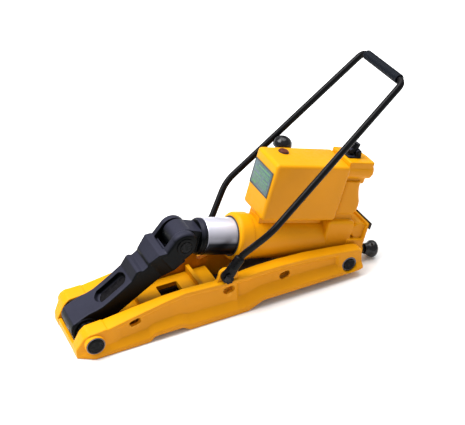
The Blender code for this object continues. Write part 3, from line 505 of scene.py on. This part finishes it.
# Painted shade: a dark sheet on the pocket floor stands in for the shade in the arm's hollow.
show(stack("scoop_painted_shade", [pocket_ring(n, 0.86, 0.80) for n in (3.6, 5.7)], arm), "arm", "black_gloss")
for tag, axis in SIDES:
    ring = [(14.2, 46.8), (20.4, 46.8), (20.4, 49.1), (14.2, 49.1)]
    show(lathe(f"fork_ring_{tag}", ring, (REACH, 0, 0), axis, arm, 64, 0.8), "arm", "blackened_steel",
         f"fork_pin_ring_{tag}")
    head = [(0, 50.4), (5.2, 50.4), (6.2, 49.4), (11.6, 49.4), (14, 48.4), (14, 40), (0, 40)]
    show(lathe(f"fork_pin_end_{tag}", head, (REACH, 0, 0), axis, arm, 64, 0.5), "arm", "blackened_steel")

# ==== cylinder and plunger =========================================================================
RISE = 26.0
BORE_R, BARREL_R, ROD_R, COLLAR_R = 43.4, 52, 42.5, 55.5
GAP = 0.3
EYE_R, EYE_HALF, EYE_SET_BACK = 31.5, 26, 4.3
axis_at = (0, 0, RISE)
tube = [(BORE_R, -262), (BARREL_R, -262), (BARREL_R, -50.3), (BORE_R, -50.3)]
show(lathe("barrel_tube", tube, axis_at, "X", tail, 128, 0.8), "cylinder", "yellow_paint", "cylinder_barrel")
gland = [(42.9, -284.3), (47.5, -284.3), (52.5, -282.2), (55.2, -277.5), (COLLAR_R, -273.0),
         (COLLAR_R, -250), (52.3, -250), (52.3, -268.3), (42.9, -268.3)]
show(lathe("collar_ring", gland, axis_at, "X", tail, 128, 1.2), "cylinder", "yellow_paint",
     "cylinder_collar", sharp=50)
wiper = [(42.8, -284.6), (45.0, -284.6), (46.4, -285.3), (45.4, -286.5), (42.8, -286.5)]
show(lathe("wiper_lip", wiper, axis_at, "X", tail, 128, 0.4), "cylinder", "seal_rubber", "wiper_ring")
rod = [(0, -360.9), (41.2, -360.9), (ROD_R, -359.6), (ROD_R, -125.2), (0, -125.2)]
show(lathe("chrome_rod", rod, axis_at, "X", tail, 160, 0.7), "plunger", "hard_chrome", "plunger")
eye = middle("fork_pin")
eye_u = (tail.inverted() @ eye).x / MM + EYE_SET_BACK
disc_side = [(0, -361.3), (42.1, -361.3), (42.1, -370), (39.1, -371.5), (39.1, -375.4), (0, -375.4)]
disc = lathe("disc", disc_side, axis_at, "X", tail, 96, 1.0)
knuckle_side = [(-372, RISE - 27), (-372, RISE + 27)] + arc((eye_u, RISE), EYE_R, 70, 290, 48)
knuckle = prism("knuckle", knuckle_side, -EYE_HALF, EYE_HALF, tail, 3.0, 4)
show(cast("plunger_eye", 1.0, 4, disc, knuckle), "plunger", "black_enamel", "plunger_head", sharp=None)

# ==== tank and its fittings ========================================================================
T0, T1, W0, W1 = -245.0, -47.0, 91.3, 232.0
TANK_HALF, PLATE_HALF, PLATE_LOW, PLATE_HIGH, BORDER = 49, 42, 146, 208, 3.2
tank = brick("tank", (T0, -TANK_HALF, W0), (T1, TANK_HALF, W1), tail, 9.0, 8)
FILL, VENT = (-194.0, 20.0, W1), tuple((tail.inverted() @ breather.translation) / MM)
boss_side = [(0, -30), (12, -30), (15, -26), (15, -0.6), (0, -0.6)]
vent_boss = lathe("vent_boss", boss_side, VENT, "Z", tail, 64, 1.0)
arm_low, arm_high = (VENT[0] - 11, TANK_HALF - 3, VENT[2] - 28), (VENT[0] + 11, VENT[1], VENT[2] - 8)
vent_arm = brick("vent_arm", arm_low, arm_high, tail, 3, 3)
fill_boss = lathe("fill_boss", [(0, -3), (14.5, -3), (14.5, 0.25), (0, 0.25)], FILL, "Z", tail, 64, 0.3)
show(together("tank_shell", tank, vent_boss, vent_arm, fill_boss), "cylinder", "yellow_paint", "oil_tank",
     sharp=45)
plug = [(0, 4.2), (4.0, 4.2), (5.2, 5.0), (9.8, 5.0), (11.5, 3.5), (11.5, 2.1), (8, 2.1), (8, -3), (0, -3)]
show(lathe("filler_cap", plug, FILL, "Z", tail, 64, 0.6), "cylinder", "plug_brown", "filler_plug")
dome = [(0, 27.2), (8, 26), (15, 22.5), (20, 16.5), (22, 9), (22, 2.5), (20.5, 1), (0, 1)]
show(lathe("vent_dome", dome, (0, 0, 0), "Z", breather, 96, 2.0), "breather", "knob_plastic",
     "breather_cap", sharp=60)
screw = [(0, 51.4), (2.5, 51.4), (3.2, 53.0), (5.8, 53.0), (7, 51.8), (7, 49.2), (0, 49.2)]
show(lathe("tank_screw", screw, (-152, 0, 150), "-Y", tail, 48, 0.4), "cylinder", "yellow_paint", "side_plug")
show(brick("tank_base", (T0 + 10, -39, W0 + 1.5), (T1 - 10, 39, W0 + 5.5), tail, 0.5, 1), "cylinder",
     "yellow_paint", "tank_floor")
SEAT_R, RELIEF_R = BARREL_R + GAP, COLLAR_R + GAP
seat_side = [(0, -300), (SEAT_R, -300), (SEAT_R, 0), (0, 0)]
relief_side = [(0, -300), (RELIEF_R, -300), (RELIEF_R, -249.6), (0, -249.6)]
saddle = cut(brick("saddle", (-236, -24, 62), (-66, 24, 92.4), tail, 1.0, 2),
             lathe("seat", seat_side, axis_at, "X", tail, 96, 0),
             lathe("relief", relief_side, axis_at, "X", tail, 96, 0))
show(cast("saddle_block", 1.2, 2, saddle), "cylinder", "yellow_paint", "tank_saddle")
plate_lo, plate_hi = (T0 - 1.5, -PLATE_HALF, PLATE_LOW), (T0 - GAP, PLATE_HALF, PLATE_HIGH)
show(brick("plate", plate_lo, plate_hi, tail, 0.4, 2), "cylinder", "name_plate", "name_plate")
edge_u = (plate_lo[0] - 0.25, plate_lo[0] + 0.1)
edges = ((-PLATE_HALF, PLATE_LOW, BORDER - PLATE_HALF, PLATE_HIGH),
         (PLATE_HALF - BORDER, PLATE_LOW, PLATE_HALF, PLATE_HIGH),
         (-PLATE_HALF, PLATE_LOW, PLATE_HALF, PLATE_LOW + BORDER),
         (-PLATE_HALF, PLATE_HIGH - BORDER, PLATE_HALF, PLATE_HIGH))
frame_bars = [brick("bar", (edge_u[0], y0, w0), (edge_u[1], y1, w1), tail, 0.1, 1)
              for y0, w0, y1, w1 in edges]
show(together("plate_border", *frame_bars), "cylinder", "label_border")
rows = ((-33, 20, 196, 3.2), (-33, 33, 189.5, 1.2), (-33, 33, 186, 1.2), (-33, 12, 182.5, 1.2),
        (-33, -8, 174, 2.4), (-2, 33, 174, 2.4), (-33, 33, 168.5, 1.0), (-33, 28, 165, 1.0),
        (-33, 33, 161.5, 1.0), (-33, 5, 158, 1.0), (14, 33, 154, 4.5))
marks = [brick("mark", (edge_u[0], y0, w0), (edge_u[1], y1, w0 + tall), tail, 0.1, 1)
         for y0, y1, w0, tall in rows]
show(together("plate_marks", *marks), "cylinder", "label_print")

# ==== pump =========================================================================================
COLUMN_REAR = ((106, 10), (109, 14), (114, 17.4), (120, 18), (130, 18), (138, 16.5), (148, 12), (160, 7.5),
               (172, 4), (190, 2))
COLUMN_FRONT, COLUMN_HALF = -46, 39
PUMP_AT = (0, -19, 213)
column = []
for w, rear in COLUMN_REAR:
    section = [(COLUMN_FRONT, -COLUMN_HALF), (rear, -COLUMN_HALF), (rear, COLUMN_HALF),
               (COLUMN_FRONT, COLUMN_HALF)]
    column.append([(u, y, w) for u, y in soften(section, 14, 7)])
plan = [(-46.6, -37), (22.9, -37), (22.9, 4), (18, 20), (8, 32), (-14, 42), (-40, 46), (-46.6, 46)]
head_rings = [[(u, y, w) for u, y in soften(plan, 6, 5)] for w in (224, 239)]
pump_head = rounded(stack("pump_head", head_rings, tail), 2.5, 4, 50)
head_parts = [
    brick("block", (-62, -52, -16), (12, 52, 91), tail, 8, 5),
    brick("neck", (-44, -36, 70), (8, 36, 130), tail, 6, 4),
    stack("column", column, tail),
    brick("tower", (-46.3, -32, 180), (14, 40, 236), tail, 6, 4),
    pump_head,
    lathe("valve_chest", [(0, -48), (20, -48), (20, 48), (0, 48)], (30, 0, 66), "Y", tail, 80, 2.5),
    lathe("pump_barrel", [(0, -46.9), (21, -46.9), (21, 23), (0, 23)], PUMP_AT, "X", tail, 96, 2.0),
    prism("tail_lug", arc((0, 0), 26, 0, 352.5, 47), -57, 57, tail, 1.5),
    brick("ledge", (0, -56, 3), (50, 56, 46), tail, 3, 3),
    brick("flange", (42, -55.5, 20), (49.7, 55.5, 89), tail, 2, 3),
    lathe("release_boss", [(0, 0), (14, 0), (14, 57), (0, 57)], (0, -40, 11), "X", tail, 64, 1.5)]
show(cast("pump_casting", 1.2, 5, *head_parts), "cylinder", "yellow_paint", "pump_block", sharp=None)
cap = [(0, 23.3), (17.5, 23.3), (17.5, 26), (14, 27.5), (0, 27.5)]
show(lathe("pump_barrel_cap", cap, PUMP_AT, "X", tail, 96, 1.0), "cylinder", "yellow_paint", "barrel_cap")
knob = [(0, 103), (10, 102.4), (17, 100), (20.5, 96), (21, 91), (19.5, 86), (16, 82), (14, 77), (12.5, 68),
        (0, 68)]
show(lathe("release_wheel", knob, (0, 0, 0), "X", release, 96, 2.0), "release_valve", "knob_plastic",
     "release_knob", sharp=60)

# ==== carrying handle ==============================================================================
PX, PZ = handle.translation.x / MM, handle.translation.z / MM
EYE_Y, TILTED = 82.5, math.radians(50)
HANDLE_ROD_R, GRIP_X, GRIP_Z = 7.7, 439, 482
AROUND, BEND_STEPS = 32, 12
way = Vector((math.cos(TILTED), 0, math.sin(TILTED)))
out = Vector((0, -EYE_Y, 0))
near = [way * 41 + out, way * 60 + out, Vector((100 - PX, -117, 213 - PZ)),
        Vector((GRIP_X - PX, -83.5, GRIP_Z - PZ))]
route = near + [Vector((p.x, -p.y, p.z)) for p in reversed(near)]
path = [route[0]]
for before, corner, after, reach in zip(route, route[1:], route[2:], (10, 26, 17, 17, 26, 10)):
    start = corner + (before - corner).normalized() * reach
    end = corner + (after - corner).normalized() * reach
    for t in [k / BEND_STEPS for k in range(BEND_STEPS + 1)]:
        path.append(start * (1 - t) ** 2 + corner * 2 * t * (1 - t) + end * t * t)
path.append(route[-1])
bm = bmesh.new()
rings = []
up = Vector((0, 1, 0))
for i, p in enumerate(path):
    along = (path[min(i + 1, len(path) - 1)] - path[max(i - 1, 0)]).normalized()
    up = (up - along * up.dot(along)).normalized()
    across = along.cross(up)
    turns = [2 * math.pi * k / AROUND for k in range(AROUND)]
    rings.append([p + (up * math.cos(t) + across * math.sin(t)) * HANDLE_ROD_R for t in turns])
skin(bm, rings, True, True)
show(to_object("handle_tube", bm, handle), "handle", "black_gloss", "handle_rod", sharp=60)
stem_side = [(0, 24), (12, 24), (12, 52), (10.5, 54), (0, 54)]
for side, tag in ((-1, "near"), (1, "far")):
    outline = arc((0, 0), 14, 140, 320, 28) + arc((way.x * 30, way.z * 30), 11, -40, 140, 24)
    flat = prism("eye", outline, *sorted((side * (EYE_Y - 6), side * (EYE_Y + 6))), handle, 1.6)
    turn = Matrix.Translation((0, side * EYE_Y * MM, 0)) @ Matrix.Rotation(math.pi / 2 - TILTED, 4, "Y")
    stem = lathe("stem", stem_side, (0, 0, 0), "Z", handle @ turn, 64, 1.2)
    show(together(f"handle_end_{tag}", flat, stem), "handle", "black_gloss", f"handle_eye_{tag}")
RIB = ((11.4, 0.2), (11.6, 0.5), (11.4, 0.8), (10.7, 0.97))
ribs, half = 24, 68.0
pitch = 2 * half / ribs
profile = [(8.2, half), (8.2, -half), (11.2, -half)]
for i in range(ribs):
    start = -half + i * pitch
    profile += [(r, start + pitch * part) for r, part in RIB]
profile[-1] = (11.2, half)
show(lathe("grip_sleeve", profile, (GRIP_X - PX, 0, GRIP_Z - PZ), "-Y", handle, 64, 0.8), "handle",
     "grip_rubber", "handle_grip", sharp=60)

# ==== picture ======================================================================================
azimuth, height, roll = math.radians(-24.42), math.radians(34.0), math.radians(-1.6)
FOCAL_MM, LOOK_AT, AWAY = 90.01, Vector((0.06215, 0, 0.20843)), 2.60494
back = Vector((math.sin(azimuth) * math.cos(height), -math.cos(azimuth) * math.cos(height), math.sin(height)))
right = (-back).cross(Vector((0, 0, 1))).normalized()
up = right.cross(-back)
tilted_right = right * math.cos(roll) + up * math.sin(roll)
tilted_up = up * math.cos(roll) - right * math.sin(roll)
lens = bpy.data.cameras.new("camera")
lens.lens, lens.sensor_width, lens.clip_end = FOCAL_MM, 36, 50
camera = bpy.data.objects.new("camera", lens)
bpy.context.scene.collection.objects.link(camera)
aim = Matrix((tilted_right, tilted_up, back)).transposed().to_4x4()
aim.translation = LOOK_AT + back * AWAY
camera.matrix_world = aim
bpy.context.scene.camera = camera


def lay(name, corners, height, colour):
    """A flat sheet under the jack."""
    sheet = bpy.data.meshes.new(name)
    sheet.from_pydata([(x, y, 0) for x, y in corners], [], [tuple(range(len(corners)))])
    ob = bpy.data.objects.new(name, sheet)
    ob.location.z = height
    bpy.context.scene.collection.objects.link(ob)
    sheet.materials.append(shader(name, colour, 0.85, shine=0.2, grain=20, bump=0.0, tone=0.995, grime_and_shade=0.0,
                                  wear_amount=0.0))


lay("paper", [(-30, -30), (30, -30), (30, 30), (-30, 30)], -0.0008, (0.94, 0.94, 0.94))
# Painted shadow: a dark sheet under the base, seen only through its openings and under the raised far sole,
# stands in for the shade beneath the jack.
lay("painted_shadow_sheet", [(-0.335, -0.070), (0.335, -0.070), (0.335, 0.070), (0.20, 0.070), (0.19, 0.094),
                  (0.06, 0.094), (0.05, 0.070), (-0.335, 0.070)], -0.0003, (0.03, 0.02, 0.015))
world = bpy.data.worlds.new("studio")
bpy.context.scene.world = world
world.use_nodes = True
world.node_tree.nodes["Background"].inputs["Color"].default_value = (1, 1, 1, 1)
world.node_tree.nodes["Background"].inputs["Strength"].default_value = 0.52


def lamp(name, place, size, power, target=(0, 0, 0.15)):
    light = bpy.data.lights.new(name, "AREA")
    light.energy, light.size = power, size
    ob = bpy.data.objects.new(name, light)
    bpy.context.scene.collection.objects.link(ob)
    ob.location = place
    ob.rotation_euler = (Vector(target) - Vector(place)).to_track_quat("-Z", "Y").to_euler()


lamp("key", (-3.0, 1.25, 5.6), 3.75, 475)
lamp("top", (1.25, 1.25, 6.3), 5.5, 385)
bpy.context.scene.view_settings.view_transform = "Standard"
